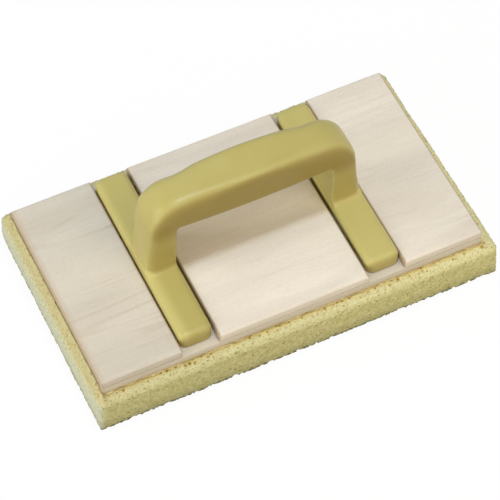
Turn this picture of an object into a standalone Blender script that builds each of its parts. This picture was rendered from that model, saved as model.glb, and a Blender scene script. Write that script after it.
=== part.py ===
"""Sponge float: a two-layer wooden board with a moulded bridge handle, and a sponge pad glued beneath.

Metres, +Z up. X runs along the board and Y across it, from front to back. The sponge rests on Z = 0,
and the origin lies under the middle of the sponge.
"""

import math

import bmesh
import bpy
from mathutils import Vector

# Wooden board: a full base board, and three top boards that leave two channels for the handle's feet
BOARD_LENGTH = 0.266
BOARD_WIDTH = 0.1444
BASE_THICKNESS = 0.0058
TOP_THICKNESS = 0.0067
BOARD_EASE = 0.0007
CHANNEL_WIDTH = 0.0254

# Sponge pad, glued on a little off centre and sawn out of square at its right end, and its glue film
SPONGE_THICKNESS = 0.029
SPONGE_OVERHANG_LEFT = 0.0053
SPONGE_OVERHANG_RIGHT = 0.0099
SPONGE_OVERHANG_FRONT = 0.007
SPONGE_OVERHANG_BACK = 0.009
SPONGE_SKEW = 0.004
SPONGE_ROUND = 0.0014
GLUE_THICKNESS = 0.0005

# Feet of the handle, which lie in the channels
FOOT_SPACING = 0.1296
FOOT_SIDE_GAP = 0.0017
FOOT_END_GAP = 0.0053
FOOT_RISE = 0.004
FOOT_CORNER = 0.0052
FOOT_EDGE = 0.0042

# Posts, from the feet up to the grip
POST_INSET_INNER = 0.0009
POST_INSET_OUTER = 0.0005
POST_LEAN_INNER = 0.0004
POST_LEAN_OUTER = 0.003
POST_DEPTH = 0.0275
POST_INNER_ROUND = 0.0013
POST_OUTER_ROUND = 0.0058
POST_FILLET = 0.004

# Grip, between the posts
FINGER_CLEARANCE = 0.0375
GRIP_THICKNESS = 0.0231
GRIP_CROWN = 0.0015
GRIP_BELLY = 0.0022
GRIP_END_WIDTH = 0.0305
GRIP_MIDDLE_WIDTH = 0.0303
GRIP_UNDER_ROUND = 0.004
GRIP_TOP_ROUND = 0.005
GRIP_SHOULDER_ROUND = 0.0085
INNER_CORNER_RADIUS = 0.003
OUTER_CORNER_RADIUS = 0.0243

# Countersunk screws, driven up through the base board into the feet
SCREW_DIAMETER = 0.004
SCREW_HEAD_DIAMETER = 0.0076
SCREW_HEAD_RIM = 0.0005
SCREW_POINT = 0.0035
SCREW_COVER = 0.003
SCREW_END_DISTANCE = 0.022
SCREW_RECESS = 0.0004
SCREW_CLEARANCE = 0.0003

# Clearance between pieces that touch, and how far joined shapes sink into each other
SEAT_GAP = 0.0003
FILLET_SINK = 0.0004

# Facets
CORNER_STEPS = 6
FILLET_STEPS = 5
POST_STEPS = 4
BEND_STEPS = 10
GRIP_STEPS = 12
SCREW_STEPS = 20
SMOOTH_ANGLE = math.radians(40)
LARGEST_ROUND = 0.48

# Worked out from the sizes above
FOOT_WIDTH = CHANNEL_WIDTH - 2 * FOOT_SIDE_GAP
FOOT_LENGTH = BOARD_WIDTH - 2 * FOOT_END_GAP
FOOT_HEIGHT = TOP_THICKNESS + FOOT_RISE
FOOT_X = FOOT_SPACING / 2
SCREW_Y = FOOT_LENGTH / 2 - SCREW_END_DISTANCE
SPONGE_LENGTH = SPONGE_OVERHANG_LEFT + BOARD_LENGTH + SPONGE_OVERHANG_RIGHT
SPONGE_WIDTH = SPONGE_OVERHANG_FRONT + BOARD_WIDTH + SPONGE_OVERHANG_BACK
BOARD_X = (SPONGE_OVERHANG_LEFT - SPONGE_OVERHANG_RIGHT) / 2
BOARD_Y = (SPONGE_OVERHANG_FRONT - SPONGE_OVERHANG_BACK) / 2
GLUE_Z = SPONGE_THICKNESS + SEAT_GAP
BASE_Z = GLUE_Z + GLUE_THICKNESS + SEAT_GAP
SEAT_Z = BASE_Z + BASE_THICKNESS + SEAT_GAP


def srgb(red, green, blue):
    """A colour as seen, from 0 to 255, in the linear values that a shader takes."""
    linear = []
    for value in (red, green, blue):
        share = value / 255
        linear.append(share / 12.92 if share <= 0.04045 else ((share + 0.055) / 1.055) ** 2.4)
    return (*linear, 1.0)


def material(name, colour, roughness, metallic=0.0):
    made = bpy.data.materials.new(name)
    made.use_nodes = True
    shader = made.node_tree.nodes["Principled BSDF"]
    shader.inputs["Base Color"].default_value = colour
    shader.inputs["Roughness"].default_value = roughness
    shader.inputs["Metallic"].default_value = metallic
    made.diffuse_color = colour
    return made


def clear_scene():
    for item in list(bpy.data.objects):
        bpy.data.objects.remove(item)


def collection(name, hidden=False):
    made = bpy.data.collections.new(name)
    bpy.context.scene.collection.children.link(made)
    made.hide_render = hidden
    return made


def empty(name, place, home, parent=None):
    made = bpy.data.objects.new(name, None)
    made.empty_display_size = 0.02
    made.location = place
    made.parent = parent
    home.objects.link(made)
    return made


def add(name, mesh, place, home, parent=None, finish=None):
    """Puts a mesh in the scene as a named object under its parent."""
    made = bpy.data.objects.new(name, mesh)
    made.location = place
    made.parent = parent
    home.objects.link(made)
    if finish:
        mesh.materials.append(finish)
    return made


def finish_mesh(name, shape, smooth=False):
    """Turns a bmesh into a mesh whose faces point out."""
    bmesh.ops.recalc_face_normals(shape, faces=shape.faces)
    mesh = bpy.data.meshes.new(name)
    shape.to_mesh(mesh)
    shape.free()
    if smooth:
        mesh.shade_smooth()
        mesh.set_sharp_from_angle(angle=SMOOTH_ANGLE)
    return mesh


def as_cutter(made):
    made.hide_render = True
    made.display_type = "WIRE"
    return made


def boolean(target, other, operation):
    cut = target.modifiers.new(f"{operation.lower()} {other.name}", "BOOLEAN")
    cut.operation = operation
    cut.solver = "EXACT"
    cut.object = other


def eased_box(name, size, ease, segments=2, skew=0.0):
    """A box that stands on its own Z = 0, with all edges eased, and shorter at the back by its skew."""
    shape = bmesh.new()
    bmesh.ops.create_cube(shape, size=1.0)
    bmesh.ops.scale(shape, vec=size, verts=shape.verts)
    bmesh.ops.translate(shape, vec=(0, 0, size[2] / 2), verts=shape.verts)
    for point in shape.verts:
        if point.co.x > 0 and point.co.y > 0:
            point.co.x -= skew
    ease = min(ease, LARGEST_ROUND * min(size))
    edges = list(shape.edges)
    bmesh.ops.bevel(shape, geom=edges, offset=ease, segments=segments, profile=0.5, affect="EDGES")
    return finish_mesh(name, shape)


def foot_mesh():
    """A bar with round corners in plan and a soft edge round its top."""
    shape = bmesh.new()
    bmesh.ops.create_cube(shape, size=1.0)
    bmesh.ops.scale(shape, vec=(FOOT_WIDTH, FOOT_LENGTH, FOOT_HEIGHT), verts=shape.verts)
    bmesh.ops.translate(shape, vec=(0, 0, FOOT_HEIGHT / 2), verts=shape.verts)
    corner = min(FOOT_CORNER, LARGEST_ROUND * FOOT_WIDTH)
    upright = [edge for edge in shape.edges if abs(edge.verts[0].co.z - edge.verts[1].co.z) > FOOT_HEIGHT / 2]
    bmesh.ops.bevel(
        shape, geom=upright, offset=corner, segments=CORNER_STEPS, profile=0.5, affect="EDGES"
    )
    top = [edge for edge in shape.edges if all(point.co.z > FOOT_HEIGHT / 2 for point in edge.verts)]
    edge_round = min(FOOT_EDGE, LARGEST_ROUND * FOOT_HEIGHT, corner * 2 * LARGEST_ROUND)
    bmesh.ops.bevel(
        shape, geom=top, offset=edge_round, segments=CORNER_STEPS - 2, profile=0.5, affect="EDGES"
    )
    return finish_mesh("foot", shape, smooth=True)


def ease_between(share):
    """A smooth step from 0 to 1."""
    share = min(max(share, 0.0), 1.0)
    return share * share * (3 - 2 * share)


def between(start, end, share):
    return start + (end - start) * share


def rounded_section(inner, outer, width, inner_round, outer_round):
    """A ring of points: a rounded rectangle from an inner to an outer point, as wide along Y as given."""
    across = outer - inner
    depth = across.length
    across.normalize()
    most = LARGEST_ROUND * min(depth, width)
    inner_round = min(inner_round, most)
    outer_round = min(outer_round, most)
    corners = (
        (inner_round, inner_round - width / 2, inner_round, math.pi),
        (depth - outer_round, outer_round - width / 2, outer_round, 1.5 * math.pi),
        (depth - outer_round, width / 2 - outer_round, outer_round, 0.0),
        (inner_round, width / 2 - inner_round, inner_round, 0.5 * math.pi),
    )
    ring = []
    for reach, side, radius, start in corners:
        for step in range(CORNER_STEPS + 1):
            angle = start + 0.5 * math.pi * step / CORNER_STEPS
            point = inner + across * (reach + radius * math.cos(angle))
            ring.append(point + Vector((0, side + radius * math.sin(angle), 0)))
    return ring


def post_sections():
    """The right-hand post: sunk in the foot, then its fillet, then a taper up to the bend."""
    inner_base = Vector((FOOT_X - FOOT_WIDTH / 2 + POST_INSET_INNER, 0, 0))
    outer_base = Vector((FOOT_X + FOOT_WIDTH / 2 - POST_INSET_OUTER, 0, 0))
    toe = FOOT_HEIGHT - FILLET_SINK
    sections = []
    heights = [(FOOT_HEIGHT / 2, POST_FILLET)]
    for step in range(FILLET_STEPS + 1):
        angle = 0.5 * math.pi * step / FILLET_STEPS
        heights.append((toe + POST_FILLET * (1 - math.cos(angle)), POST_FILLET * (1 - math.sin(angle))))
    for height, flare in heights:
        up = Vector((0, 0, height))
        width = POST_DEPTH + 2 * flare
        sections.append(
            rounded_section(inner_base + up, outer_base + up, width, POST_INNER_ROUND, POST_OUTER_ROUND)
        )
    start = Vector((0, 0, toe + POST_FILLET))
    inner_end, outer_end = bend_ends()
    for step in range(1, POST_STEPS + 1):
        share = step / POST_STEPS
        width = between(POST_DEPTH, GRIP_END_WIDTH, ease_between(share))
        inner = between(inner_base + start, inner_end, share)
        outer = between(outer_base + start, outer_end, share)
        sections.append(rounded_section(inner, outer, width, POST_INNER_ROUND, POST_OUTER_ROUND))
    return sections


def grip_heights():
    """The grip's underside and its top at the bends."""
    underside = FOOT_HEIGHT + FINGER_CLEARANCE
    return underside, underside + GRIP_THICKNESS


def bend_ends():
    """Where the inner and outer faces of the post end and the bend into the grip begins."""
    underside, top = grip_heights()
    inner_x = FOOT_X - FOOT_WIDTH / 2 + POST_INSET_INNER - POST_LEAN_INNER
    outer_x = FOOT_X + FOOT_WIDTH / 2 - POST_INSET_OUTER - POST_LEAN_OUTER
    inner = Vector((inner_x, 0, underside - INNER_CORNER_RADIUS))
    outer = Vector((outer_x, 0, top - OUTER_CORNER_RADIUS))
    return inner, outer


def bend_sections():
    """The bend from the post into the grip, between two arcs."""
    inner, outer = bend_ends()
    sections = []
    for step in range(1, BEND_STEPS + 1):
        share = step / BEND_STEPS
        angle = 0.5 * math.pi * share
        turn = Vector((math.cos(angle) - 1, 0, math.sin(angle)))
        blend = ease_between(share)
        sections.append(
            rounded_section(
                inner + turn * INNER_CORNER_RADIUS,
                outer + turn * OUTER_CORNER_RADIUS,
                GRIP_END_WIDTH,
                between(POST_INNER_ROUND, GRIP_UNDER_ROUND, blend),
                between(POST_OUTER_ROUND, GRIP_SHOULDER_ROUND, blend),
            )
        )
    return sections


def grip_sections():
    """Half the grip, from the bend to the middle: crowned above, bellied below, its edges crisper there."""
    underside, top = grip_heights()
    inner, outer = bend_ends()
    inner_start = inner.x - INNER_CORNER_RADIUS
    outer_start = outer.x - OUTER_CORNER_RADIUS
    sections = []
    for step in range(1, GRIP_STEPS + 1):
        left = 1 - step / GRIP_STEPS
        arch = 1 - left * left
        blend = ease_between(left)
        sections.append(
            rounded_section(
                Vector((inner_start * left, 0, underside - GRIP_BELLY * arch)),
                Vector((outer_start * left, 0, top + GRIP_CROWN * arch)),
                between(GRIP_MIDDLE_WIDTH, GRIP_END_WIDTH, blend),
                GRIP_UNDER_ROUND,
                between(GRIP_TOP_ROUND, GRIP_SHOULDER_ROUND, blend),
            )
        )
    return sections


def bridge_mesh():
    """Half of the bridge, lofted through its sections and open at the middle."""
    shape = bmesh.new()
    rings = []
    for section in post_sections() + bend_sections() + grip_sections():
        rings.append([shape.verts.new(point) for point in section])
    shape.faces.new(rings[0])
    for lower, upper in zip(rings, rings[1:]):
        for index in range(len(lower)):
            after = (index + 1) % len(lower)
            shape.faces.new((lower[index], lower[after], upper[after], upper[index]))
    return finish_mesh("handle", shape, smooth=True)


def screw_mesh(name, grow, tail):
    """Half the outline of a countersunk screw, point up, made larger all over by grow, with a tail below."""
    radius = SCREW_DIAMETER / 2
    head = SCREW_HEAD_DIAMETER / 2
    length = BASE_THICKNESS - SCREW_RECESS + SEAT_GAP + FOOT_HEIGHT - SCREW_COVER
    shoulder = SCREW_HEAD_RIM + head - radius
    outline = (
        (0.0, length + grow),
        (radius * 0.3 + grow, length + grow),
        (radius + grow, length - SCREW_POINT + grow),
        (radius + grow, shoulder + grow),
        (head + grow, SCREW_HEAD_RIM + grow),
        (head + grow, -tail),
        (0.0, -tail),
    )
    shape = bmesh.new()
    points = [shape.verts.new((radius_here, 0, height)) for radius_here, height in outline]
    for start, end in zip(points, points[1:]):
        shape.edges.new((start, end))
    mesh = bpy.data.meshes.new(name)
    shape.to_mesh(mesh)
    shape.free()
    return mesh


def turned(made):
    """Turns an outline about the object's own Z axis."""
    turn = made.modifiers.new("turn", "SCREW")
    turn.axis = "Z"
    turn.steps = SCREW_STEPS
    turn.render_steps = SCREW_STEPS
    turn.use_merge_vertices = True
    turn.merge_threshold = 0.00001
    turn.use_smooth_shade = False
    return made


def screw_places():
    for side, x in (("left", -FOOT_X), ("right", FOOT_X)):
        for end, y in (("front", -SCREW_Y), ("back", SCREW_Y)):
            yield f"{side}_{end}", Vector((x, y, BASE_Z + SCREW_RECESS))


def build_sponge(parts, origin, foam, glue):
    sponge_size = (SPONGE_LENGTH, SPONGE_WIDTH, SPONGE_THICKNESS)
    pad = eased_box("sponge_pad", sponge_size, SPONGE_ROUND, skew=SPONGE_SKEW)
    add("sponge_pad", pad, (0, 0, 0), parts, origin, foam)
    glue_size = (BOARD_LENGTH, BOARD_WIDTH, GLUE_THICKNESS)
    film = eased_box("glue_film", glue_size, GLUE_THICKNESS * 0.3, 1)
    add("glue_film", film, (BOARD_X, BOARD_Y, GLUE_Z), parts, origin, glue)


def build_boards(parts, board, wood, cutters):
    """The base board, drilled for the screws, and the three top boards between and beside the channels."""
    base_size = (BOARD_LENGTH, BOARD_WIDTH, BASE_THICKNESS)
    base = add("base_board", eased_box("base_board", base_size, BOARD_EASE), (0, 0, BASE_Z), parts, board, wood)
    for cutter in cutters:
        boolean(base, cutter, "DIFFERENCE")
    middle = FOOT_SPACING - CHANNEL_WIDTH
    side = (BOARD_LENGTH - FOOT_SPACING - CHANNEL_WIDTH) / 2
    side_x = (BOARD_LENGTH - side) / 2
    for name, length, x in (("left", side, -side_x), ("middle", middle, 0.0), ("right", side, side_x)):
        mesh = eased_box(f"{name}_top_board", (length, BOARD_WIDTH, TOP_THICKNESS), BOARD_EASE)
        add(f"{name}_top_board", mesh, (x, 0, SEAT_Z), parts, board, wood)


def build_handle(parts, helpers, board, plastic, cutters):
    """One moulding: the bridge is mirrored, joined to its two feet, and drilled from below."""
    handle = add("handle", bridge_mesh(), (0, 0, SEAT_Z), parts, board, plastic)
    mirror = handle.modifiers.new("mirror", "MIRROR")
    mirror.use_axis = (True, False, False)
    mirror.use_clip = True
    mirror.merge_threshold = 0.00001
    foot = foot_mesh()
    for side, x in (("left", -FOOT_X), ("right", FOOT_X)):
        shape = as_cutter(add(f"{side}_foot", foot, (x, 0, SEAT_Z), helpers, board))
        boolean(handle, shape, "UNION")
    for cutter in cutters:
        boolean(handle, cutter, "DIFFERENCE")


def build_screws(parts, helpers, board, steel):
    """Four screws, and a larger outline of each to drill its hole with."""
    screw = screw_mesh("handle_screw", 0.0, 0.0)
    screw.materials.append(steel)
    hole = screw_mesh("screw_hole", SCREW_CLEARANCE, SCREW_RECESS + SEAT_GAP)
    cutters = []
    for name, place in screw_places():
        turned(add(f"handle_screw_{name}", screw, place, parts, board))
        cutters.append(as_cutter(turned(add(f"screw_hole_{name}", hole, place, helpers, board))))
    return cutters


def main():
    clear_scene()
    parts = collection("grout_float")
    helpers = collection("grout_float_cutters", hidden=True)
    foam = material("yellow sponge", srgb(214, 204, 138), 0.95)
    glue = material("contact glue", srgb(176, 128, 56), 0.5)
    wood = material("pale poplar", srgb(222, 212, 196), 0.6)
    plastic = material("khaki plastic", srgb(190, 178, 106), 0.42)
    steel = material("zinc-plated steel", srgb(176, 172, 160), 0.35, 1.0)
    origin = empty("float_origin", (0, 0, 0), parts)
    board = empty("board_centre", (BOARD_X, BOARD_Y, 0), parts, origin)
    build_sponge(parts, origin, foam, glue)
    cutters = build_screws(parts, helpers, board, steel)
    build_boards(parts, board, wood, cutters)
    build_handle(parts, helpers, board, plastic, cutters)


if __name__ == "__main__":
    main()
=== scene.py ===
"""Sponge float: the dressed model, with its wood, moulded handle, glue line and open-pored sponge pad."""

import math

import bmesh
import bpy
from bpy.props import FloatProperty, FloatVectorProperty, PointerProperty
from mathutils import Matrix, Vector, noise


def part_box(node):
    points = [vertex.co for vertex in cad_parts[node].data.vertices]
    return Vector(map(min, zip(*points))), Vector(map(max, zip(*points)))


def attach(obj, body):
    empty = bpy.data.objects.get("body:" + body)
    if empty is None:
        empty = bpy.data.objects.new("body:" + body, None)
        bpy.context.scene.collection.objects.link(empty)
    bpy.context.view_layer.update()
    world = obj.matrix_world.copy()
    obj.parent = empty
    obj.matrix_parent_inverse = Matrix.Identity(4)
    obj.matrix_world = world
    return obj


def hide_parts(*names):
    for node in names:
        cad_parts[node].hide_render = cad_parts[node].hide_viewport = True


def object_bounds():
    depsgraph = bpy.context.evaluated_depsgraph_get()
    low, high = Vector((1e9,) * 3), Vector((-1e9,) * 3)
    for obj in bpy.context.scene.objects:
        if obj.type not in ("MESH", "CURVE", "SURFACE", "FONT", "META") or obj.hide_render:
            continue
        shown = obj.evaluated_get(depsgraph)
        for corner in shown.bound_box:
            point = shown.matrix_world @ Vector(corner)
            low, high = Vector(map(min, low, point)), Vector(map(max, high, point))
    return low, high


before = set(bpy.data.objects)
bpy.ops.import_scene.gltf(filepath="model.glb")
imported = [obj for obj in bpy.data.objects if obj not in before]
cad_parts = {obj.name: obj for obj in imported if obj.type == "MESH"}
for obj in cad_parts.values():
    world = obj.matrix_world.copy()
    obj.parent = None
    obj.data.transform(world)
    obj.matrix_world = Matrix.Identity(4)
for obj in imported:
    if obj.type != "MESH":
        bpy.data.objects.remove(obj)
CAD_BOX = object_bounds()

bl_info = {
    "name": "Sponge Float",
    "version": (1, 0, 0),
    "blender": (4, 5, 0),
    "location": "3D View > Sidebar > Float",
    "description": "Dresses a sponge float: boards, moulded handle, glue line, sponge pad and stage",
    "category": "Object",
}

BASE_LOW, BASE_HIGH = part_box("base_board")
BOARD_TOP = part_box("middle_top_board")[1].z
BOARD_MIDDLE = Vector(((BASE_LOW.x + BASE_HIGH.x) / 2, (BASE_LOW.y + BASE_HIGH.y) / 2, BOARD_TOP))
SCREWS = ("left_front", "left_back", "right_front", "right_back")

# Share of the sponge's cells that are open pores, and how far each opens across its cell.
SMALL_PORES = (0.75, 0.66)
LARGE_PORES = (0.8, 0.36)
TORN_PORES = (0.85, 0.66)

# Waves in a metre: of the sponge's sides, and of the glue's broad swells and fine ripples.
SPONGE_WAVES = 60
GLUE_SWELLS = 170
GLUE_RIPPLES = 520

# Lengths over which the changes to the handle's feet, posts, shoulders and waists fade out.
FOOT_FADE = 0.003
POST_FADE = 0.01
SHOULDER_FADE = 0.025
CROWN_FADE = 0.012
WAIST_FADE = 0.006
BACK_FADE = 0.012

# Points nearer to a plane than this lie in it.
TOUCH = 1e-6

# Steps that spread nearby places far apart, for a number that looks random but belongs to a place.
SPREAD = Vector((12.9898, 78.233, 37.719))
SPREAD_SCALE = 43758.5453

# The floor as it is seen: its own white, and the share of it that glows.
WHITE = (1.0, 1.0, 1.0, 1.0)
FLOOR_WHITE = (0.95, 0.95, 0.95, 1.0)
FLOOR_SIZE = 12.0
FLOOR_HEIGHT = -0.0004
FLOOR_GLOW = 0.94


def seen(red, green, blue):
    """A colour as seen, from 0 to 255, in the linear values that a shader takes."""
    linear = []
    for value in (red, green, blue):
        share = value / 255
        linear.append(share / 12.92 if share <= 0.04045 else ((share + 0.055) / 1.055) ** 2.4)
    return (*linear, 1.0)


def length(name, description, default):
    return FloatProperty(
        name=name, description=description, default=default, min=0.0, precision=5, unit="LENGTH"
    )


def power(name, description, default):
    return FloatProperty(name=name, description=description, default=default, min=0.0, unit="POWER")


def level(name, description, default):
    return FloatProperty(
        name=name, description=description, default=default, min=0.0, max=1.0, subtype="FACTOR"
    )


def tint(name, description, default):
    return FloatVectorProperty(
        name=name, description=description, default=default, size=len(default), subtype="COLOR"
    )


def colour(name, description, default):
    return FloatVectorProperty(
        name=name, description=description, default=seen(*default), size=4, min=0.0, max=1.0, subtype="COLOR"
    )


class FloatSizes(bpy.types.PropertyGroup):
    """Sizes of the float's pieces."""

    board_edge: length("Board edge", "Radius of the top boards' worn upper edges", 0.0017)
    board_joint: length("Board joint", "Radius of the boards' other edges", 0.0008)
    board_grid: length("Board grid", "Spacing of the cuts that carry the boards' slight unevenness", 0.006)
    board_wear: length("Board wear", "How far the boards' faces rise and fall", 0.0003)
    handle_voxel: length("Handle blend", "Grid on which the handle's joins are blended", 0.00066)
    shoulder_reach: length("Shoulder reach", "How far in from its ends the handle's top is rounded", 0.05)
    shoulder_depth: length("Shoulder depth", "How far down from its top the handle is rounded", 0.023)
    post_reach: length("Post reach", "How far in from the handle's ends the posts are rounded", 0.019)
    post_start: length("Post start", "Height above the boards where the posts' rounding starts", 0.014)
    grip_waist: length("Grip waist", "How far the grip draws in behind each shoulder", 0.0014)
    waist_place: length("Waist place", "Distance of the grip's waists from the handle's ends", 0.033)
    waist_spread: length("Waist spread", "Half the length of each of the grip's waists", 0.014)
    waist_depth: length("Waist depth", "How far down from the handle's top the waists go", 0.026)
    left_foot_close: length("Left foot", "How far the left foot is drawn out to the left", 0.0008)
    right_foot_close: length("Right foot", "How far the right foot is drawn out to the right", 0.0013)
    foot_reach: length("Foot reach", "How far the feet are drawn out to the back of the board", 0.0028)
    foot_height: length("Foot height", "Height above the boards up to which the feet are drawn out", 0.006)
    glue_step: length("Glue step", "Spacing of the points round the glue line", 0.0011)
    glue_spread: length("Glue spread", "Furthest that glue has been squeezed out past the board", 0.0009)
    sponge_grid: length("Sponge grid", "Spacing of the sponge's cuts before they are refined", 0.0016)
    sponge_skew: length("Sponge skew", "How far the right end of the sponge is drawn in at the back", 0.0016)
    sponge_round: length("Upper edge", "Radius of the sponge's upper edges", 0.0056)
    sponge_foot_round: length("Lower edge", "Radius of the sponge's lower edges", 0.0014)
    sponge_lip: length("Sponge lip", "How far the sponge stands up against the left end of the board", 0.0075)
    lip_front: length("Lip front", "Length over which the lip falls away at the front", 0.014)
    lip_back: length("Lip back", "Length over which the lip falls away at the back", 0.009)
    sponge_gap: length("Lip gap", "Gap between the sponge's lip and the board", 0.00003)
    sponge_wave: length("Sponge wave", "How far the sponge's sawn sides wander", 0.0003)
    sponge_rough: length("Sponge roughness", "How far the sponge's sawn faces are frayed", 0.0006)
    fray_spacing: length("Fray spacing", "Spacing of the sponge's frayed spots", 0.0019)
    small_pore: length("Small pores", "Spacing of the small pores", 0.0019)
    small_depth: length("Small pore depth", "Depth of the small pores", 0.0005)
    large_pore: length("Large pores", "Spacing of the large pores", 0.0034)
    large_depth: length("Large pore depth", "Depth of the large pores", 0.0006)
    torn_pore: length("Torn pores", "Spacing of the torn pores along the lower edge", 0.0033)
    torn_depth: length("Torn pore depth", "Depth of the torn pores", 0.0022)
    jag_spacing: length("Jag spacing", "Spacing of the jags along the lower edge", 0.0022)
    jag_depth: length("Jag depth", "Depth of the jags along the lower edge", 0.0034)
    sponge_back: length("Sponge back", "How far the sponge is drawn out at the back", 0.0016)
    back_reach: length("Back reach", "Distance from the back over which it is drawn out", 0.01)
    sponge_lean: length("Sponge lean", "How far the left end of the sponge is drawn in at its foot", 0.0011)
    lean_height: length("Lean height", "Height up to which the left end is drawn in", 0.012)
    lean_reach: length("Lean reach", "Distance from the left end over which it is drawn in", 0.02)
    torn_height: length("Torn height", "How far up from the bottom the sponge is torn", 0.0035)


class FloatColours(bpy.types.PropertyGroup):
    """Colours of the float's finishes."""

    wood_pale: colour("Pale wood", "Middle and right boards between the streaks", (230, 223, 209))
    wood_deep: colour("Streaked wood", "Streaks of the middle and right boards", (212, 203, 189))
    left_pale: colour("Left wood", "Left board between the streaks", (209, 204, 190))
    left_deep: colour("Streaked left wood", "Streaks of the left board", (196, 187, 171))
    wood_flush: colour("Flushed wood", "Faint warm cast in all the boards", (217, 206, 190))
    end_grain: colour("End grain", "Sawn ends of the boards", (180, 162, 136))
    base_pale: colour("Pale base wood", "Base board between the streaks", (212, 205, 189))
    base_deep: colour("Streaked base wood", "Streaks of the base board", (194, 184, 166))
    plastic: colour("Plastic", "Moulded handle", (184, 174, 108))
    plastic_deep: colour("Deep plastic", "Darker cast in the moulded handle", (177, 166, 98))
    # Painted light: the feet are painted lighter than the grip, to offset the shade and the lamps' distance
    # down by the boards.
    plastic_feet_lit: colour("Clean plastic", "Feet of the handle, which hands do not reach", (190, 180, 112))
    # Painted shade: the front of the left foot, on the side turned away from the light on the left.
    plastic_left_foot_shade: colour("Rubbed plastic", "Front of the left foot, rubbed darker", (177, 166, 98))
    # Painted shade: the handle's faces that look to the front and back, which the overhead light misses.
    plastic_front_shade: colour("Handled plastic", "Front and back of the handle, darkened by hands", (148, 132, 70))
    sponge: colour("Sponge", "Sponge between its pores", (205, 202, 151))
    sponge_deep: colour("Mottled sponge", "Darker cast in the sponge", (186, 181, 124))
    sponge_top: colour("Sponge rim", "Clean upper face of the sponge", (204, 200, 153))
    sponge_lip: colour("Sponge lip", "Upper face of the sponge at its left end", (199, 191, 144))
    # Painted light: the sponge's left end, lit by the lamps on the left, is painted paler.
    sponge_lit_end: colour("Sponge end", "Paler left end of the sponge", (201, 204, 177))
    stain: colour("Stain", "Sponge that the glue has stained beside the board", (206, 190, 126))
    # Painted shade: the colour stands for the shade inside the sponge's pores.
    pore: colour("Pore", "Inside of the sponge's pores", (152, 140, 67))
    # Glue stain and painted shade: the pores beside the board.
    pore_stain_and_shade: colour("Stained pore", "Inside of the pores beside the glue", (152, 124, 54))
    # Painted shade: inside the torn pores and along the sponge's lower edge.
    torn: colour("Torn pore", "Inside of the pores along the lower edge", (98, 102, 78))
    glue: colour("Glue", "Glue where it is thin", (214, 198, 146))
    glue_deep: colour("Deep glue", "Glue where it has gathered", (184, 158, 94))
    zinc: colour("Zinc", "Plating of the screws", (182, 180, 172))
    zinc_dull: colour("Dull zinc", "Oxide on the screws", (136, 136, 132))


class StageSettings(bpy.types.PropertyGroup):
    """Camera, light and floor."""

    camera_place: FloatVectorProperty(
        name="Camera",
        description="Where the camera stands, from the middle of the boards' top",
        default=(-0.41462, -0.87581, 1.37048),
        unit="LENGTH",
    )
    camera_way: FloatVectorProperty(
        name="Way",
        description="Which way the camera looks",
        default=(0.24455, 0.513, -0.82282),
        subtype="DIRECTION",
    )
    lens: FloatProperty(
        name="Lens", description="Focal length on a 36 mm sensor", default=188.76, unit="CAMERA"
    )
    front_sky: level("Front sky", "Level of the light from the front", 0.53)
    back_sky: level("Back sky", "Level of the light from the back", 0.2)
    front_tint: tint("Front tint", "Warm cast of the light from the front", (1.08, 0.92, 0.7, 1.0))
    back_tint: tint("Back tint", "Cast of the light from the back", (1.06, 0.95, 0.81, 1.0))
    key_tint: tint("Key tint", "Cool cast of the lamp overhead", (0.86, 1.0, 1.2))
    lamp_tint: tint("Front lamp tint", "Warm cast of the lamp in front", (1.04, 0.94, 0.79))
    key_size: length("Key size", "Side of the lamp overhead", 0.15)
    key_power: power("Key", "Power of the lamp overhead", 6.3)
    front_power: power("Front", "Power of the lamp in front", 8.3)
    side_power: power("Side", "Power of the lamp on the left", 5.8)
    low_power: power("Low", "Power of the low lamp on the left", 6.5)
    fill_power: power("Fill", "Power of the lamp on the right", 1.2)
    floor_tone: level("Floor", "How much light the floor sends back", 0.6)


def rest():
    """Leaves edit mode and clears the selection."""
    if bpy.context.mode != "OBJECT":
        bpy.ops.object.mode_set(mode="OBJECT")
    bpy.ops.object.select_all(action="DESELECT")


def pick(piece):
    rest()
    piece.select_set(True)
    bpy.context.view_layer.objects.active = piece


def add_box(name, low, high):
    """A box from corner to corner, with its place in its mesh."""
    rest()
    bpy.ops.mesh.primitive_cube_add(size=1.0, location=(low + high) / 2, scale=high - low)
    piece = bpy.context.active_object
    piece.name = name
    piece.data.name = name
    bpy.ops.object.transform_apply(location=True, rotation=True, scale=True)
    return piece


def cut_along(axis, step):
    """In edit mode, cuts every edge that runs along an axis into lengths near the step."""
    shape = bmesh.from_edit_mesh(bpy.context.edit_object.data)
    places = [point.co[axis] for point in shape.verts]
    pieces = max(1, round((max(places) - min(places)) / step))
    first = max(1, round(math.sqrt(pieces)))
    for count in (first, round(pieces / first)):
        if count < 2:
            continue
        bpy.ops.mesh.select_all(action="DESELECT")
        shape = bmesh.from_edit_mesh(bpy.context.edit_object.data)
        for edge in shape.edges:
            run = edge.verts[0].co - edge.verts[1].co
            edge.select_set(abs(run[axis]) > 0.99 * run.length)
        bmesh.update_edit_mesh(bpy.context.edit_object.data)
        bpy.ops.mesh.subdivide(number_cuts=count - 1)


def cut_faces(test, cuts):
    """In edit mode, cuts up the faces whose middle and normal pass a test."""
    bpy.ops.mesh.select_all(action="DESELECT")
    shape = bmesh.from_edit_mesh(bpy.context.edit_object.data)
    for face in shape.faces:
        face.select_set(test(face.calc_center_median(), face.normal))
    bmesh.update_edit_mesh(bpy.context.edit_object.data)
    bpy.ops.mesh.subdivide(number_cuts=cuts)


def gridded_box(name, low, high, step):
    piece = add_box(name, low, high)
    bpy.ops.object.mode_set(mode="EDIT")
    bpy.ops.mesh.select_mode(type="EDGE")
    for axis in range(3):
        cut_along(axis, step)
    bpy.ops.mesh.select_mode(type="FACE")
    return piece


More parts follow.
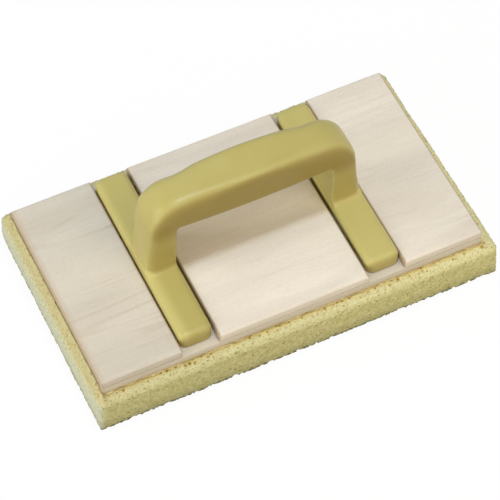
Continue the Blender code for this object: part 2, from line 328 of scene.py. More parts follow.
def apply_modifiers(piece):
    pick(piece)
    for modifier in list(piece.modifiers):
        bpy.ops.object.modifier_apply(modifier=modifier.name)


def dress(piece, finish, node):
    """Gives a piece its finish, and lets it stand for a CAD node on the float's one body."""
    piece.data.materials.clear()
    piece.data.materials.append(finish)
    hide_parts(node)
    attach(piece, "root")


def eased(share):
    """A smooth step from 0 to 1."""
    share = min(max(share, 0.0), 1.0)
    return share * share * (3 - 2 * share)


def chance(place):
    """A number from 0 to 1 that belongs to a place."""
    return math.sin(place.dot(SPREAD)) * SPREAD_SCALE % 1


def pore_depth(place, spacing, share, reach):
    """How deep a place lies in a pore, from 0 to 1, where a share of the cells are open, up to a reach."""
    distances, centres = noise.voronoi(place / spacing)
    luck = chance(centres[0])
    if luck > share:
        return 0.0
    reach *= 0.5 + 0.5 * luck / share
    return eased(1.25 * (1 - distances[0] / reach))


class Nodes:
    """Adds nodes to a tree and links them."""

    def __init__(self, tree):
        self.tree = tree

    def add(self, kind, inputs=None, **settings):
        node = self.tree.nodes.new(kind)
        for name, value in settings.items():
            setattr(node, name, value)
        for name, value in (inputs or {}).items():
            self.feed(value, node.inputs[name])
        return node

    def feed(self, value, socket):
        if isinstance(value, bpy.types.NodeSocket):
            self.tree.links.new(value, socket)
        else:
            socket.default_value = value

    def maths(self, operation, first, second):
        node = self.add("ShaderNodeMath", operation=operation)
        self.feed(first, node.inputs[0])
        self.feed(second, node.inputs[1])
        return node.outputs[0]

    def times(self, first, second):
        return self.maths("MULTIPLY", first, second)

    def mix(self, share, first, second, blend="MIX"):
        node = self.add("ShaderNodeMix", data_type="RGBA", blend_type=blend)
        self.feed(share, node.inputs[0])
        self.feed(first, node.inputs[6])
        self.feed(second, node.inputs[7])
        return node.outputs[2]

    def ramp(self, value, low, high, start=0.0, end=1.0):
        node = self.add("ShaderNodeMapRange", {"Value": value}, interpolation_type="SMOOTHSTEP")
        for name, number in (("From Min", low), ("From Max", high), ("To Min", start), ("To Max", end)):
            node.inputs[name].default_value = number
        return node.outputs[0]

    def stretch(self, place, scale):
        return self.add("ShaderNodeMapping", {"Vector": place, "Scale": scale}).outputs[0]

    def noise(self, place, scale, detail=3.0, roughness=0.5, distortion=0.0):
        values = {"Vector": place, "Scale": scale, "Detail": detail, "Roughness": roughness}
        values["Distortion"] = distortion
        return self.add("ShaderNodeTexNoise", values).outputs["Fac"]

    def split(self, vector):
        """The X, Y and Z of a vector."""
        return self.add("ShaderNodeSeparateXYZ", {"Vector": vector}).outputs

    def facing(self):
        """The X, Y and Z of the way a surface faces."""
        return self.split(self.add("ShaderNodeTexCoord").outputs["Normal"])

    def shaded(self, tone, shade):
        """A colour made darker or lighter by a factor."""
        grey = self.add("ShaderNodeCombineColor", {"Red": shade, "Green": shade, "Blue": shade})
        return self.mix(1.0, tone, grey.outputs[0], "MULTIPLY")

    def shown(self):
        """1 for what the camera sees straight, in a shine or through a clear piece, and else 0."""
        path = self.add("ShaderNodeLightPath").outputs
        mirrored = self.maths("ADD", path["Is Glossy Ray"], path["Is Transmission Ray"])
        return self.maths("MINIMUM", self.maths("ADD", path["Is Camera Ray"], mirrored), 1.0)


def effect(name, inputs, outputs):
    """An empty node group with named sockets, each given as its type, and its two ends."""
    tree = bpy.data.node_groups.new(name, "ShaderNodeTree")
    for way, sockets in (("INPUT", inputs), ("OUTPUT", outputs)):
        for socket, kind in sockets.items():
            tree.interface.new_socket(socket, in_out=way, socket_type=f"NodeSocket{kind}")
    nodes = Nodes(tree)
    return nodes, nodes.add("NodeGroupInput").outputs, nodes.add("NodeGroupOutput").inputs


def mottle_effect():
    """Soft clouds of one colour in another, for any finish."""
    name = "mottle"
    if name not in bpy.data.node_groups:
        inputs = {"Place": "Vector", "Scale": "Float", "Pale": "Color", "Deep": "Color"}
        nodes, given, result = effect(name, inputs, {"Colour": "Color", "Cloud": "Float"})
        cloud = nodes.ramp(nodes.noise(given["Place"], given["Scale"], 4.0, 0.6), 0.3, 0.7)
        nodes.feed(nodes.mix(cloud, given["Pale"], given["Deep"]), result["Colour"])
        nodes.feed(cloud, result["Cloud"])
    return bpy.data.node_groups[name]


def grain_effect():
    """Wood grain along X: soft patches, broken growth lines, short streaks and fine pores."""
    name = "wood grain"
    if name not in bpy.data.node_groups:
        inputs = {"Place": "Vector", "Pale": "Color", "Deep": "Color", "Flush": "Color", "Figure": "Float"}
        outputs = {"Colour": "Color", "Roughness": "Float", "Height": "Float"}
        nodes, given, result = effect(name, inputs, outputs)

        def stretched(along, across, detail=2.0, distortion=0.0):
            scaled = nodes.stretch(given["Place"], (along, across, across))
            return nodes.noise(scaled, 1.0, detail, 0.5, distortion)

        patch = stretched(7.0, 32.0)
        streak = stretched(17.0, 170.0, 3.0, 0.7)
        fibre = stretched(65.0, 520.0)
        speckle = stretched(420.0, 1000.0)
        rings = nodes.maths("FRACT", nodes.times(stretched(1.7, 30.0, 1.0, 0.2), 9.0), 0.0)
        rings = nodes.ramp(nodes.maths("ABSOLUTE", nodes.maths("SUBTRACT", rings, 0.5), 0.0), 0.16, 0.0)
        rings = nodes.times(rings, nodes.ramp(stretched(13.0, 60.0), 0.42, 0.62))
        rings = nodes.times(rings, given["Figure"])
        share = nodes.ramp(patch, 0.36, 0.66, 0.0, 0.55)
        share = nodes.maths("ADD", share, nodes.ramp(streak, 0.46, 0.76, 0.0, 0.2))
        share = nodes.maths("ADD", share, nodes.ramp(fibre, 0.45, 0.75, 0.0, 0.22))
        share = nodes.maths("MINIMUM", nodes.maths("ADD", share, rings), 1.0)
        tone = nodes.mix(share, given["Pale"], given["Deep"])
        flush = nodes.ramp(stretched(7.0, 24.0), 0.45, 0.7, 0.0, 0.35)
        tone = nodes.mix(flush, tone, given["Flush"])
        tone = nodes.shaded(tone, nodes.ramp(speckle, 0.28, 0.72, 0.965, 1.02))
        nodes.feed(tone, result["Colour"])
        nodes.feed(nodes.ramp(streak, 0.3, 0.7, 0.54, 0.68), result["Roughness"])
        height = nodes.maths("ADD", nodes.times(speckle, 0.6), nodes.times(streak, 0.4))
        nodes.feed(nodes.maths("SUBTRACT", height, rings), result["Height"])
    return bpy.data.node_groups[name]


def finish(name):
    """A new material: its nodes, its Principled shader's inputs and the piece's own coordinates."""
    made = bpy.data.materials.new(name)
    made.use_nodes = True
    nodes = Nodes(made.node_tree)
    shader = made.node_tree.nodes["Principled BSDF"]
    place = nodes.add("ShaderNodeTexCoord").outputs["Object"]
    return made, nodes, shader.inputs, place


def bump(nodes, height, strength, distance):
    values = {"Height": height, "Strength": strength, "Distance": distance}
    return nodes.add("ShaderNodeBump", values).outputs[0]


def wood_finish(name, pale, deep, colours, shift, figure):
    """Bare planed wood, darker on its sawn ends, with end-grain colour and painted shade over the board's
    rounded left edge.
    """
    made, nodes, shader, place = finish(name)
    end = nodes.ramp(nodes.maths("ABSOLUTE", nodes.facing()["X"], 0.0), 0.1, 0.75)
    along = nodes.split(place)["X"]
    # End-grain colour and painted shade: the last 5 mm of each board at its left end is darkened towards the
    # end grain, where its rounded edge turns down.
    end = nodes.maths("MAXIMUM", end, nodes.ramp(along, BASE_LOW.x + 0.005, BASE_LOW.x, 0.0, 0.5))
    place = nodes.add("ShaderNodeMapping", {"Vector": place, "Location": shift}).outputs[0]
    grain = nodes.add("ShaderNodeGroup", node_tree=grain_effect())
    given = {"Place": place, "Pale": pale, "Deep": deep, "Flush": colours.wood_flush, "Figure": figure}
    for socket, value in given.items():
        nodes.feed(value, grain.inputs[socket])
    nodes.feed(nodes.mix(end, grain.outputs["Colour"], colours.end_grain), shader["Base Color"])
    nodes.feed(grain.outputs["Roughness"], shader["Roughness"])
    nodes.feed(bump(nodes, grain.outputs["Height"], 0.3, 0.0002), shader["Normal"])
    shader["Specular IOR Level"].default_value = 0.15
    return made


def mottled(nodes, place, scale, pale, deep):
    """A mottled colour, and the clouds that mottle it."""
    node = nodes.add("ShaderNodeGroup", node_tree=mottle_effect())
    for socket, value in (("Place", place), ("Scale", scale), ("Pale", pale), ("Deep", deep)):
        nodes.feed(value, node.inputs[socket])
    return node.outputs["Colour"], node.outputs["Cloud"]


def plastic_finish(colours):
    """Satin moulded plastic, with painted light and shade: feet painted lighter, and the front of the left
    foot and the faces to the front and back painted darker.
    """
    made, nodes, shader, place = finish("satin plastic")
    tone, cloud = mottled(nodes, place, 26.0, colours.plastic, colours.plastic_deep)
    along, across, height = nodes.split(place)
    # Painted light: the feet and the foot of the posts are painted lighter, to offset the shade and the lamps'
    # distance down by the boards.
    lit_feet = nodes.ramp(height, BOARD_TOP + 0.02, BOARD_TOP + 0.004)
    tone = nodes.mix(lit_feet, tone, colours.plastic_feet_lit)
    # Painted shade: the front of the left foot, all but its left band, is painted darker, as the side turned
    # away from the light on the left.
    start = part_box("left_top_board")[1].x
    foot_painted_shade = nodes.times(nodes.ramp(along, start + 0.005, start + 0.011), nodes.ramp(along, -0.001, -0.01))
    foot_painted_shade = nodes.times(foot_painted_shade, nodes.ramp(height, BOARD_TOP + 0.012, BOARD_TOP + 0.004))
    foot_painted_shade = nodes.times(foot_painted_shade, nodes.ramp(across, 0.01, -0.015))
    tone = nodes.mix(foot_painted_shade, tone, colours.plastic_left_foot_shade)
    top = CAD_BOX[1].z
    # Painted shade: faces looking to the front or back are painted darker, less on the posts than on the grip,
    # as the sides the overhead light misses.
    worn = nodes.ramp(nodes.maths("ABSOLUTE", nodes.facing()["Y"], 0.0), 0.35, 0.95)
    worn = nodes.times(worn, nodes.ramp(height, top - 0.036, top - 0.02, 0.35, 1.0))
    nodes.feed(nodes.mix(worn, tone, colours.plastic_front_shade), shader["Base Color"])
    nodes.feed(nodes.ramp(cloud, 0.0, 1.0, 0.3, 0.37), shader["Roughness"])
    fine = nodes.noise(place, 1400.0, 2.0)
    skin = nodes.maths("ADD", fine, nodes.times(nodes.noise(place, 160.0), 1.6))
    nodes.feed(bump(nodes, skin, 0.22, 0.0001), shader["Normal"])
    shader["Specular IOR Level"].default_value = 0.2
    return made


def past_board(nodes, place):
    """How far a place lies outside the board's outline, seen from above."""
    reaches = []
    spots = nodes.split(place)
    for axis in (0, 1):
        middle = (BASE_LOW[axis] + BASE_HIGH[axis]) / 2
        offset = nodes.maths("ABSOLUTE", nodes.maths("SUBTRACT", spots[axis], middle), 0.0)
        reaches.append(nodes.maths("SUBTRACT", offset, (BASE_HIGH[axis] - BASE_LOW[axis]) / 2))
    return nodes.maths("MAXIMUM", *reaches)


def open_cells(nodes, place):
    """Where the sponge's small cells lie open, in patches."""
    cells = nodes.add("ShaderNodeTexVoronoi", {"Vector": place, "Scale": 560.0}).outputs["Distance"]
    patches = nodes.ramp(nodes.noise(place, 330.0), 0.42, 0.62)
    return nodes.times(nodes.ramp(cells, 0.42, 0.12), patches)


def pored(nodes, tone, height, cells, colours):
    """Paints shade into the sponge's small cells and its modelled pores, and darker painted shade towards its
    foot.
    """
    pit = nodes.add("ShaderNodeAttribute", attribute_name="pore").outputs["Fac"]
    # Painted shade in the small cells, in the modelled pores and towards the foot.
    tone = nodes.mix(nodes.times(cells, 0.6), tone, colours.pore)
    tone = nodes.mix(nodes.ramp(height, 0.014, 0.003, 0.0, 0.3), tone, colours.torn)
    inside = nodes.mix(nodes.ramp(height, 0.004, 0.001), colours.pore, colours.torn)
    return nodes.mix(nodes.ramp(pit, 0.15, 0.8, 0.0, 0.78), tone, inside)


def glue_stain_and_pore_shade(nodes, tone, place, glued, colours):
    """Stains the sponge beside the board where it is glued, and paints the pores there with stain and painted
    shade.
    """
    wander = nodes.ramp(nodes.noise(place, 240.0), 0.3, 0.7, -0.001, 0.001)
    edge = nodes.maths("ADD", past_board(nodes, place), wander)
    stain = nodes.times(nodes.ramp(edge, 0.004, 0.0005, 0.0, 0.8), glued)
    tone = nodes.mix(stain, tone, colours.stain)
    # Stain and painted shade in the pores beside the board.
    cells = nodes.add("ShaderNodeTexVoronoi", {"Vector": place, "Scale": 330.0}).outputs
    luck = nodes.add("ShaderNodeSeparateColor", {"Color": cells["Color"]}).outputs["Red"]
    reach = nodes.ramp(luck, 0.15, 1.0, 0.12, 0.55)
    spots = nodes.ramp(nodes.maths("DIVIDE", cells["Distance"], reach), 1.0, 0.6)
    spots = nodes.times(spots, nodes.ramp(edge, 0.0052, 0.0014))
    return nodes.mix(nodes.times(spots, glued), tone, colours.pore_stain_and_shade)


def frayed(nodes, tone, place, height, colours):
    """Paints shade along the sponge's torn lower edge, and in specks on its upper edges at the back and right.
    """
    ragged = nodes.noise(place, 420.0)
    fringe = nodes.maths("ADD", height, nodes.ramp(ragged, 0.3, 0.7, -0.0018, 0.0018))
    # Painted shade along the torn lower edge.
    tone = nodes.mix(nodes.ramp(fringe, 0.0036, 0.0008, 0.0, 0.85), tone, colours.torn)
    facing = nodes.facing()
    far = nodes.ramp(nodes.maths("MAXIMUM", facing["X"], facing["Y"]), 0.35, 0.8)
    far = nodes.times(far, nodes.ramp(facing["Z"], 0.1, 0.3))
    # Painted shade in specks along the silhouettes of the upper edges at the back and right.
    specks = nodes.times(far, nodes.ramp(ragged, 0.54, 0.62, 0.0, 0.7))
    return nodes.mix(specks, tone, colours.torn)


def sponge_finish(colours):
    """Sawn open-celled foam with a rim of its own colour and a torn lower edge, its left end painted paler as
    painted light from the left, and shade painted into its pores and along its foot.
    """
    made, nodes, shader, place = finish("open-celled foam")
    tone, cloud = mottled(nodes, place, 320.0, colours.sponge, colours.sponge_deep)
    along, _, height = nodes.split(place)
    low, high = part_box("sponge_pad")
    saw = nodes.noise(nodes.stretch(place, (1.0, 1.0, 0.25)), 320.0)
    tone = nodes.mix(nodes.ramp(saw, 0.45, 0.7, 0.0, 0.32), tone, colours.sponge_deep)
    # Painted light: the left end is painted paler, as lit from the left.
    tone = nodes.mix(nodes.ramp(along, low.x + 0.005, low.x + 0.0012), tone, colours.sponge_lit_end)
    rim = nodes.ramp(height, high.z - 0.005, high.z - 0.0005)
    tone = nodes.mix(rim, tone, colours.sponge_top)
    lip = nodes.times(rim, nodes.ramp(along, low.x + 0.016, low.x + 0.007))
    tone = nodes.mix(lip, tone, colours.sponge_lip)
    cells = open_cells(nodes, place)
    tone = pored(nodes, tone, height, cells, colours)
    glued = nodes.times(rim, nodes.ramp(along, low.x + 0.005, low.x + 0.015, 0.4, 1.0))
    tone = glue_stain_and_pore_shade(nodes, tone, place, glued, colours)
    tone = frayed(nodes, tone, place, height, colours)
    grit = nodes.ramp(nodes.noise(place, 850.0, 2.0, 0.6), 0.3, 0.7, 0.89, 1.1)
    grit = nodes.times(grit, nodes.ramp(along, low.x, high.x, 0.955, 1.11))
    nodes.feed(nodes.shaded(tone, grit), shader["Base Color"])
    nodes.feed(nodes.ramp(cloud, 0.0, 1.0, 0.9, 0.98), shader["Roughness"])
    relief = nodes.maths("SUBTRACT", nodes.noise(place, 1000.0, 3.0), cells)
    nodes.feed(bump(nodes, relief, 0.45, 0.0006), shader["Normal"])
    shader["Specular IOR Level"].default_value = 0.15
    return made


def glue_finish(colours):
    made, nodes, shader, place = finish("dried contact glue")
    tone, cloud = mottled(nodes, place, 260.0, colours.glue, colours.glue_deep)
    nodes.feed(tone, shader["Base Color"])
    nodes.feed(nodes.ramp(cloud, 0.0, 1.0, 0.35, 0.6), shader["Roughness"])
    nodes.feed(bump(nodes, nodes.noise(place, 800.0), 0.4, 0.0003), shader["Normal"])
    return made


def zinc_finish(colours):
    made, nodes, shader, place = finish("zinc-plated steel")
    tone, cloud = mottled(nodes, place, 600.0, colours.zinc, colours.zinc_dull)
    nodes.feed(tone, shader["Base Color"])
    nodes.feed(nodes.ramp(cloud, 0.0, 1.0, 0.28, 0.5), shader["Roughness"])
    nodes.feed(bump(nodes, nodes.noise(place, 1500.0), 0.2, 0.0001), shader["Normal"])
    shader["Metallic"].default_value = 1.0
    return made


class GROUT_FLOAT_OT_sponge(bpy.types.Operator):
    """Model the sponge pad: a sawn block with open pores, torn along its lower edge"""

    bl_idname = "grout_float.sponge"
    bl_label = "Sponge pad"

    def execute(self, context):
        sizes = context.scene.float_sizes
        low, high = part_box("sponge_pad")
        board_low, board_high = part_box("base_board")
        piece = gridded_box("sponge", low, high, sizes.sponge_grid)
        margin = 2 * sizes.sponge_grid

        def shows(middle, normal):
            if abs(normal.z) < 0.5:
                return True
            for axis in (0, 1):
                if not board_low[axis] + margin < middle[axis] < board_high[axis] - margin:
                    return normal.z > 0.5
            return False

        cut_faces(shows, 2)
        cut_faces(lambda middle, normal: normal.z < -0.5, 1)
        lip = board_low.x - sizes.sponge_gap
        for spot in (lip - sizes.sponge_gap, lip):
            bpy.ops.mesh.select_all(action="SELECT")
            bpy.ops.mesh.bisect(plane_co=(spot, 0.0, 0.0), plane_no=(1.0, 0.0, 0.0))
        rest()
        self.shape(piece, low, high, lip - sizes.sponge_gap, sizes)
        pick(piece)
        bpy.ops.object.shade_smooth_by_angle(angle=math.radians(70))
        dress(piece, sponge_finish(context.scene.float_colours), "sponge_pad")
        return {"FINISHED"}

    @staticmethod
    def shape(piece, low, high, lip, sizes):
        """Rounds the block's edges, raises its lip and sinks its pores."""
        # The pore attribute holds how deep each point lies in a pore, as the mask for the shade painted there.
        pits = piece.data.attributes.new("pore", "FLOAT", "POINT")
        for point, pit in zip(piece.data.vertices, pits.data):
            place = point.co.copy()
            share = eased((place.z - low.z) / (high.z - low.z))
            radius = sizes.sponge_foot_round + share * (sizes.sponge_round - sizes.sponge_foot_round)
            inset = Vector((radius, radius, radius))
            core = Vector(map(min, map(max, place, low + inset), high - inset))
            out = (place - core).normalized()
            small = pore_depth(place, sizes.small_pore, *SMALL_PORES)
            large = pore_depth(place, sizes.large_pore, *LARGE_PORES)
            near_floor = eased(1 - (place.z - low.z) / sizes.torn_height)
            torn = near_floor * pore_depth(place, sizes.torn_pore, *TORN_PORES)
            jag = near_floor * max(0.0, noise.noise(place / sizes.jag_spacing))
            depth = small * sizes.small_depth + large * sizes.large_depth + torn * sizes.torn_depth
            depth += jag * sizes.jag_depth
            wave = sizes.sponge_wave * noise.noise(place * SPONGE_WAVES) if abs(out.z) < 0.9 else 0.0
            fray = (0.2 + 0.8 * eased(2 * max(out.x, out.y))) * eased(1.6 * (1 - abs(out.z)))
            wave += sizes.sponge_rough * fray * noise.noise(place / sizes.fray_spacing)
            spot = core + out * (radius + wave - depth)
            if place.z > high.z - TOUCH and place.x < lip + TOUCH:
                ends = eased((place.y - low.y) / sizes.lip_front) * eased((high.y - place.y) / sizes.lip_back)
                spot.z += sizes.sponge_lip * ends * eased((place.x - low.x) / (0.8 * (lip - low.x)))
            back = (place.y - low.y) / (high.y - low.y)
            lean = sizes.sponge_lean * (0.3 + 0.7 * back) * eased(1 - (place.z - low.z) / sizes.lean_height)
            spot.x += lean * eased(1 - (place.x - low.x) / sizes.lean_reach)
            spot.y += sizes.sponge_back * eased(1 - (high.y - place.y) / sizes.back_reach)
            along = (spot.x - low.x) / (high.x - low.x)
            spot.x -= sizes.sponge_skew * along * (spot.y - low.y) / (high.y - low.y)
            point.co = spot
            pit.value = min(1.0, 0.5 * small + 1.3 * large + torn)


class GROUT_FLOAT_OT_glue(bpy.types.Operator):
    """Model the glue line: the film under the board, squeezed out unevenly round its edge"""

    bl_idname = "grout_float.glue"
    bl_label = "Glue line"

    def execute(self, context):
        sizes = context.scene.float_sizes
        low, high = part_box("glue_film")
        rest()
        middle = Vector(((low.x + high.x) / 2, (low.y + high.y) / 2, low.z))
        bpy.ops.mesh.primitive_plane_add(size=1.0, location=middle)
        piece = context.active_object
        piece.name = "glue_line"
        piece.data.name = "glue_line"
        piece.scale = (high.x - low.x, high.y - low.y, 1.0)
        bpy.ops.object.transform_apply(location=True, rotation=True, scale=True)
        bpy.ops.object.mode_set(mode="EDIT")
        bpy.ops.mesh.select_mode(type="EDGE")
        bpy.ops.mesh.delete(type="ONLY_FACE")
        for axis in (0, 1):
            cut_along(axis, sizes.glue_step)
        bpy.ops.mesh.select_all(action="SELECT")
        bpy.ops.mesh.edge_face_add()
        rise = (0, 0, (high.z - low.z) / 2)
        for _ in range(2):
            bpy.ops.mesh.extrude_region_move(TRANSFORM_OT_translate={"value": rise})
        bpy.ops.mesh.select_all(action="SELECT")
        bpy.ops.mesh.normals_make_consistent(inside=False)
        rest()
        waist = (low.z + high.z) / 2
        for point in piece.data.vertices:
            place = point.co
            out = Vector((0.0, 0.0, 0.0))
            for axis in (0, 1):
                if abs(place[axis] - low[axis]) < TOUCH:
                    out[axis] = -1.0
                elif abs(place[axis] - high[axis]) < TOUCH:
                    out[axis] = 1.0
            swell = noise.noise(place * GLUE_SWELLS)
            ripple = noise.noise(place * GLUE_RIPPLES)
            gathered = eased(0.5 + 0.9 * swell + 0.6 * ripple)
            share = 1.0 if abs(place.z - waist) < 10 * TOUCH else 0.55
            point.co = place + out * (share * gathered * sizes.glue_spread)
        pick(piece)
        bpy.ops.object.shade_smooth_by_angle(angle=math.radians(60))
        dress(piece, glue_finish(context.scene.float_colours), "glue_film")
        return {"FINISHED"}


class GROUT_FLOAT_OT_boards(bpy.types.Operator):
    """Model the base board and the three top boards, with worn edges and slightly uneven faces"""

    bl_idname = "grout_float.boards"
    bl_label = "Boards"

    def execute(self, context):
        sizes = context.scene.float_sizes
        colours = context.scene.float_colours
        pale, deep = colours.wood_pale, colours.wood_deep
        woods = {
            "left_top_board": (colours.left_pale, colours.left_deep, (0.9, 0.3, 0.0), 0.75),
            "middle_top_board": (pale, deep, (0.35, 0.505, 0.1), 0.15),
            "right_top_board": (pale, deep, (0.5, 0.07, 0.4), 0.3),
            "base_board": (colours.base_pale, colours.base_deep, (0.0, 0.5, 0.8), 0.3),
        }
        uneven = bpy.data.textures.new("uneven wood", "CLOUDS")
        uneven.noise_scale = 0.02
        for node, (pale, deep, shift, figure) in woods.items():
            wood = wood_finish(node.replace("_", " "), pale, deep, colours, shift, figure)
            low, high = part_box(node)
            piece = gridded_box(f"{node}_wood", low, high, sizes.board_grid)
            if node != "base_board":
                self.wear_edges(high.z, sizes.board_edge)
            rest()
            edge = piece.modifiers.new("edge", "BEVEL")
            edge.width = sizes.board_joint
            edge.segments = 2
            edge.limit_method = "ANGLE"
            wear = piece.modifiers.new("wear", "DISPLACE")
            wear.texture = uneven
            wear.texture_coords = "LOCAL"
            wear.direction = "Z"
            wear.strength = sizes.board_wear
            apply_modifiers(piece)
            bpy.ops.object.shade_smooth_by_angle(angle=math.radians(40))
            dress(piece, wood, node)
        return {"FINISHED"}

    @staticmethod
    def wear_edges(top, radius):
        """In edit mode, rounds the edges between a board's upper face and its sides."""
        bpy.ops.mesh.select_mode(type="EDGE")
        bpy.ops.mesh.select_all(action="DESELECT")
        shape = bmesh.from_edit_mesh(bpy.context.edit_object.data)
        for edge in shape.edges:
            upper = all(point.co.z > top - TOUCH for point in edge.verts)
            edge.select_set(upper and edge.calc_face_angle() > 1.0)
        bmesh.update_edit_mesh(bpy.context.edit_object.data)
        bpy.ops.mesh.bevel(offset=radius, segments=4, affect="EDGES")


class GROUT_FLOAT_OT_handle(bpy.types.Operator):
    """Model the handle: one moulding whose feet, posts and grip run softly into each other"""

    bl_idname = "grout_float.handle"
    bl_label = "Handle"

    def execute(self, context):
        sizes = context.scene.float_sizes
        piece = bpy.data.objects.new("handle_moulding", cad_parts["handle"].data.copy())
        context.scene.collection.objects.link(piece)
        pick(piece)
        bpy.ops.object.mode_set(mode="EDIT")
        bpy.ops.mesh.select_all(action="SELECT")
        bpy.ops.mesh.remove_doubles(threshold=2 * TOUCH)
        rest()
        blend = piece.modifiers.new("blend", "REMESH")
        blend.mode = "VOXEL"
        blend.voxel_size = sizes.handle_voxel
        soften = piece.modifiers.new("soften", "SMOOTH")
        soften.factor = 0.5
        soften.iterations = 4
        apply_modifiers(piece)
        self.close_feet(piece, sizes)
        self.round_shoulders(piece, sizes)
        bpy.ops.object.shade_smooth()
        dress(piece, plastic_finish(context.scene.float_colours), "handle")
        return {"FINISHED"}

    @staticmethod
    def close_feet(piece, sizes):
        """Draws the feet out to the outer sides of their channels and to the back of the board."""
        channels = []
        for left, right, outward in (
            ("left", "middle", -sizes.left_foot_close),
            ("middle", "right", sizes.right_foot_close),
        ):
            channels.append((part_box(f"{left}_top_board")[1].x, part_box(f"{right}_top_board")[0].x, outward))
        top = BOARD_TOP + sizes.foot_height
        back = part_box("handle")[1].y
        for point in piece.data.vertices:
            for start, end, outward in channels:
                if start < point.co.x < end:
                    side = (point.co.x - start) / (end - start)
                    side = side if outward > 0 else 1 - side
                    low = eased((top - point.co.z) / FOOT_FADE)
                    point.co.x += low * outward * eased((side - 0.65) / 0.25)
                    point.co.y += low * sizes.foot_reach * eased(1 - (back - point.co.y) / BACK_FADE)
                    break

    @staticmethod
    def round_shoulders(piece, sizes):
        """Rounds the shoulders and the posts' outer edges, and draws the grip in behind each shoulder."""
        low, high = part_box("handle")
        middle = (low + high) / 2
        shoulders = piece.vertex_groups.new(name="shoulders")
        for point in piece.data.vertices:
            inward = high.x - middle.x - abs(point.co.x - middle.x)
            below = high.z - point.co.z
            above = point.co.z - BOARD_TOP
            post = eased((sizes.post_reach - inward) / POST_FADE)
            post *= eased((above - sizes.post_start) / POST_FADE)
            top = eased((sizes.shoulder_reach - inward) / SHOULDER_FADE)
            top *= eased((sizes.shoulder_depth - below) / CROWN_FADE)
            shoulders.add([point.index], max(post, top), "REPLACE")
            waist = eased(1 - abs(inward - sizes.waist_place) / sizes.waist_spread)
            waist *= eased((sizes.waist_depth - below) / WAIST_FADE)
            point.co.y -= sizes.grip_waist * waist * eased((point.co.y - middle.y) / BACK_FADE)
        soften = piece.modifiers.new("round", "SMOOTH")
        soften.factor = 0.5
        soften.iterations = 200
        soften.vertex_group = shoulders.name
        apply_modifiers(piece)
        piece.vertex_groups.clear()


class GROUT_FLOAT_OT_screws(bpy.types.Operator):
    """Plate the four screws that hold the handle"""

    bl_idname = "grout_float.screws"
    bl_label = "Screws"

    def execute(self, context):
        zinc = zinc_finish(context.scene.float_colours)
        for place in SCREWS:
            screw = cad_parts[f"handle_screw_{place}"]
            screw.data.materials.clear()
            screw.data.materials.append(zinc)
        return {"FINISHED"}


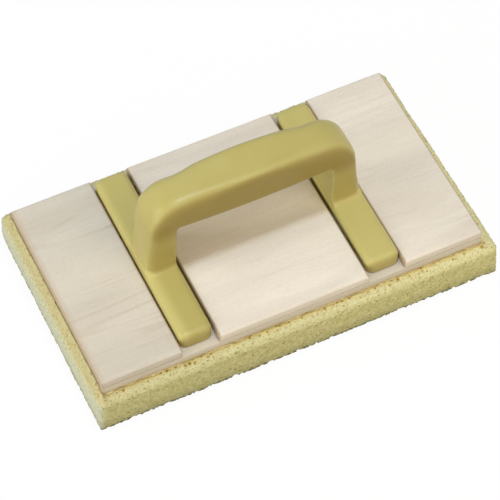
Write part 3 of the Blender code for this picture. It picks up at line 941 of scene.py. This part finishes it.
class GROUT_FLOAT_OT_stage(bpy.types.Operator):
    """Set the floor, the soft light and the camera"""

    bl_idname = "grout_float.stage"
    bl_label = "Stage"

    def execute(self, context):
        stage = context.scene.stage_settings
        self.floor(stage)
        self.sky(context.scene, stage)
        key = self.lamp("key_lamp", (0.0, -0.02, 1.4), (0.0, 0.0, -1.0), stage.key_size, stage.key_power)
        key.color = stage.key_tint
        front = self.lamp("front_lamp", (0.55, -1.05, 1.12), (-0.5, 1.0, -1.07), 1.0, stage.front_power)
        front.color = stage.lamp_tint
        self.lamp("side_lamp", (-1.2, 0.3, 0.65), (1.0, -0.25, -0.5), 0.5, stage.side_power)
        self.lamp("low_lamp", (-1.3, -0.5, 0.3), (1.3, 0.5, -0.25), 0.8, stage.low_power)
        self.lamp("fill_lamp", (1.3, 0.2, 0.6), (-1.0, -0.1, -0.4), 0.9, stage.fill_power)
        camera = bpy.data.cameras.new("camera")
        camera.sensor_width = 36.0
        camera.lens = stage.lens
        camera.clip_start = 0.05
        camera.clip_end = 50.0
        holder = bpy.data.objects.new("camera", camera)
        context.scene.collection.objects.link(holder)
        holder.location = BOARD_MIDDLE + Vector(stage.camera_place)
        holder.rotation_euler = Vector(stage.camera_way).to_track_quat("-Z", "Y").to_euler()
        context.scene.camera = holder
        context.scene.view_settings.view_transform = "Standard"
        return {"FINISHED"}

    @staticmethod
    def floor(stage):
        """A floor that keeps the float's shadow, and is white wherever it is seen."""
        rest()
        bpy.ops.mesh.primitive_plane_add(size=FLOOR_SIZE, location=(0, 0, FLOOR_HEIGHT))
        floor = bpy.context.active_object
        floor.name = "floor"
        made = bpy.data.materials.new("white floor")
        made.use_nodes = True
        nodes = Nodes(made.node_tree)
        made.node_tree.nodes.remove(made.node_tree.nodes["Principled BSDF"])
        tone = (stage.floor_tone, stage.floor_tone, stage.floor_tone, 1.0)
        grey = nodes.add("ShaderNodeBsdfDiffuse", {"Color": tone})
        white = nodes.add("ShaderNodeBsdfDiffuse", {"Color": FLOOR_WHITE})
        glow = nodes.add("ShaderNodeEmission", {"Color": WHITE, "Strength": 1.0})
        lit = nodes.add("ShaderNodeMixShader", {"Fac": FLOOR_GLOW})
        nodes.feed(white.outputs[0], lit.inputs[1])
        nodes.feed(glow.outputs[0], lit.inputs[2])
        both = nodes.add("ShaderNodeMixShader", {"Fac": nodes.shown()})
        nodes.feed(grey.outputs[0], both.inputs[1])
        nodes.feed(lit.outputs[0], both.inputs[2])
        nodes.feed(both.outputs[0], made.node_tree.nodes["Material Output"].inputs["Surface"])
        floor.data.materials.append(made)

    @staticmethod
    def sky(scene, stage):
        """Soft light, warmer and stronger from the front, and white wherever it is seen."""
        world = bpy.data.worlds.new("soft sky")
        world.use_nodes = True
        nodes = Nodes(world.node_tree)
        ground = world.node_tree.nodes["Background"].inputs
        shown = nodes.shown()
        way = nodes.split(nodes.add("ShaderNodeTexCoord").outputs["Generated"])["Y"]
        back = nodes.ramp(way, -0.8, 0.8)
        ends = {"Value": back, "To Min": stage.front_sky, "To Max": stage.back_sky}
        light = nodes.add("ShaderNodeMapRange", ends).outputs[0]
        ends = {"Value": shown, "To Min": light, "To Max": 1.0}
        nodes.feed(nodes.add("ShaderNodeMapRange", ends).outputs[0], ground["Strength"])
        cast = nodes.mix(back, stage.front_tint, stage.back_tint)
        nodes.feed(nodes.mix(shown, cast, WHITE), ground["Color"])
        scene.world = world

    @staticmethod
    def lamp(name, place, way, size, energy):
        light = bpy.data.lights.new(name, "AREA")
        light.size = size
        light.energy = energy
        holder = bpy.data.objects.new(name, light)
        bpy.context.scene.collection.objects.link(holder)
        holder.location = place
        holder.rotation_euler = Vector(way).to_track_quat("-Z", "Y").to_euler()
        return light


class GROUT_FLOAT_PT_pieces(bpy.types.Panel):
    """Lists the float's pieces and their settings"""

    bl_label = "Sponge Float"
    bl_idname = "GROUT_FLOAT_PT_pieces"
    bl_space_type = "VIEW_3D"
    bl_region_type = "UI"
    bl_category = "Float"

    def draw(self, context):
        for operator in OPERATORS:
            self.layout.operator(operator.bl_idname)
        for group in ("float_sizes", "float_colours", "stage_settings"):
            settings = getattr(context.scene, group)
            box = self.layout.box()
            for name in settings.__annotations__:
                box.prop(settings, name)


OPERATORS = (
    GROUT_FLOAT_OT_sponge,
    GROUT_FLOAT_OT_glue,
    GROUT_FLOAT_OT_boards,
    GROUT_FLOAT_OT_handle,
    GROUT_FLOAT_OT_screws,
    GROUT_FLOAT_OT_stage,
)
CLASSES = (FloatSizes, FloatColours, StageSettings, *OPERATORS, GROUT_FLOAT_PT_pieces)


def register():
    for kind in CLASSES:
        bpy.utils.register_class(kind)
    bpy.types.Scene.float_sizes = PointerProperty(type=FloatSizes)
    bpy.types.Scene.float_colours = PointerProperty(type=FloatColours)
    bpy.types.Scene.stage_settings = PointerProperty(type=StageSettings)


def unregister():
    del bpy.types.Scene.stage_settings
    del bpy.types.Scene.float_colours
    del bpy.types.Scene.float_sizes
    for kind in reversed(CLASSES):
        bpy.utils.unregister_class(kind)


def main():
    register()
    bpy.ops.grout_float.sponge()
    bpy.ops.grout_float.glue()
    bpy.ops.grout_float.boards()
    bpy.ops.grout_float.handle()
    bpy.ops.grout_float.screws()
    bpy.ops.grout_float.stage()
    rest()


if __name__ == "__main__":
    main()
